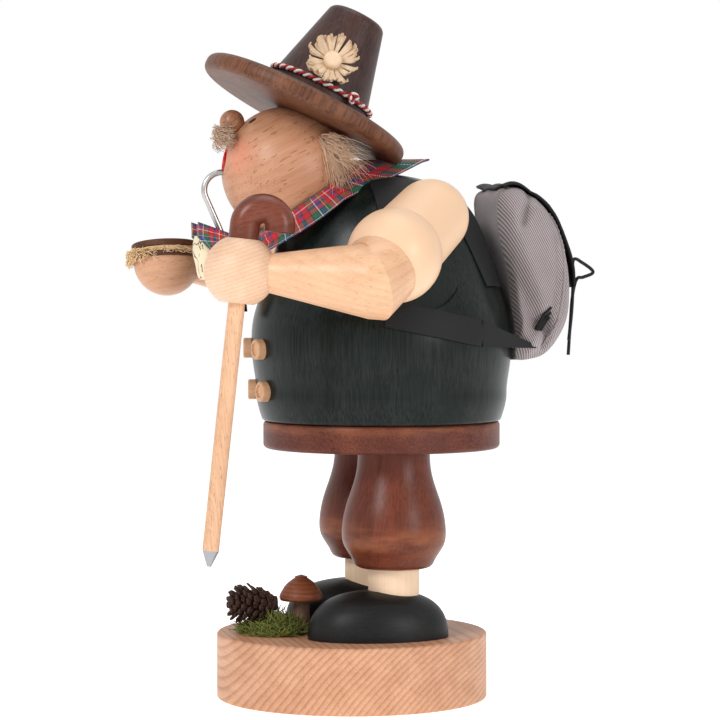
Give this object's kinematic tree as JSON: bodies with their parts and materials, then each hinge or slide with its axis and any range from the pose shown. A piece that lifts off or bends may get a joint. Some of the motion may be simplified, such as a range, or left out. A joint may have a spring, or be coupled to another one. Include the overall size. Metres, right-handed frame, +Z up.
{
  "type": "incense smoker",
  "caption": "Turned-wood walker figure that smokes an incense cone: round belly, tilted hat, tartan scarf, long pipe, stick, filled roll and rucksack.",
  "frame": {"origin": "centre of the round base's underside, which stands on the table", "axes": "+Z up, the figure faces -Y, the figure's own left hand is on +X"},
  "size_m": [0.1583, 0.156, 0.2411],
  "materials": {
    "natural_beech": "clear lacquered beech with ray flecks, satin",
    "green_black_stain": "dark green-black stain with visible upright grain, satin lacquer",
    "red_brown_stain": "red-brown stained turned wood, satin lacquer",
    "dark_brown_stain": "dark brown stained turned wood, satin lacquer",
    "cream_lacquer": "cream lacquered turned wood, semi gloss",
    "pale_lime_wood": "unstained pale lime wood, matt",
    "black_lacquer": "black painted wood, satin",
    "nose_brown": "light brown stained ball, satin",
    "pipe_steel": "drawn steel tube",
    "tip_metal": "grey turned metal",
    "tray_metal": "pressed sheet metal, bare",
    "cream_bowl": "cream gloss bowl with thin dark swirls",
    "black_gloss": "black gloss",
    "flax_fibre": "combed flax fibres",
    "grey_fibre": "grey-brown combed fibres",
    "tartan_ribbon": "woven tartan ribbon with a red edge",
    "twisted_cord": "twisted red and white cord",
    "bag_twill": "grey-mauve cotton twill",
    "black_leather": "thin black leather",
    "wood_shaving": "pale curled wood shavings",
    "roll_crust": "brown stained disc, satin",
    "roll_straw": "straw-yellow fibres",
    "dried_moss": "dried green moss",
    "mushroom_stem_wood": "grey-brown turned wood, matt",
    "mushroom_cap_wood": "orange-brown turned wood, satin",
    "dry_cone": "dry dark cone scales",
    "incense_powder": "pressed dark incense powder"
  },
  "bodies": {
    "stand": {"base_plate": "natural_beech", "leg_rods": "natural_beech", "shoe_left": "black_lacquer", "shoe_right": "black_lacquer", "stocking_left": "pale_lime_wood", "stocking_right": "pale_lime_wood", "trouser_leg_left": "red_brown_stain", "trouser_leg_right": "red_brown_stain", "belt_disc": "red_brown_stain", "incense_tray": "tray_metal", "tray_tacks": "tip_metal", "moss": "dried_moss", "mushroom_stem": "mushroom_stem_wood", "mushroom_cap": "mushroom_cap_wood", "fir_cone": "dry_cone"},
    "figure": {"torso_shell": "green_black_stain", "waistcoat_buttons": "natural_beech", "neck_tube": "natural_beech", "head_ball": "natural_beech", "nose": "nose_brown", "moustache": "grey_fibre", "hair_fringe": "flax_fibre", "hat_brim": "dark_brown_stain", "hat_crown": "dark_brown_stain", "hat_peg": "natural_beech", "hat_cord": "twisted_cord", "shaving_flower": "wood_shaving", "scarf_collar": "tartan_ribbon", "scarf_tip": "tartan_ribbon", "scarf_knot": "tartan_ribbon", "scarf_ends": "tartan_ribbon", "sleeve_left": "cream_lacquer", "sleeve_right": "cream_lacquer", "elbow_left": "natural_beech", "elbow_right": "natural_beech", "forearm_left": "natural_beech", "forearm_right": "natural_beech", "hand_left": "natural_beech", "hand_right": "natural_beech", "arm_pegs_left": "natural_beech", "arm_pegs_right": "natural_beech", "strap_left": "black_leather", "strap_right": "black_leather", "stick_shaft": "natural_beech", "stick_tip": "tip_metal", "stick_crook": "red_brown_stain", "roll_peg": "natural_beech", "roll_bottom": "roll_crust", "roll_filling": "roll_straw", "roll_top": "roll_crust", "rucksack_bag": "bag_twill", "rucksack_flap": "black_leather", "pack_lace": "black_leather"},
    "pipe": {"pipe_stem": "pipe_steel", "pipe_sump": "cream_bowl", "pipe_bowl": "cream_bowl", "pipe_lid": "black_gloss", "pipe_tassel": "black_gloss"},
    "incense": {"incense_cone": "incense_powder"}
  },
  "joints": [
    {"name": "torso_lift", "type": "slide", "parent": "stand", "child": "figure", "axis": [0, 0, 1], "range_m": [0, 0.07]},
    {"name": "pipe_pull", "type": "slide", "parent": "figure", "child": "pipe", "axis": [0, -1, 0], "range_m": [0, 0.006]},
    {"name": "cone_lift", "type": "slide", "parent": "stand", "child": "incense", "axis": [0, 0, 1], "range_m": [0, 0.012]}
  ]
}
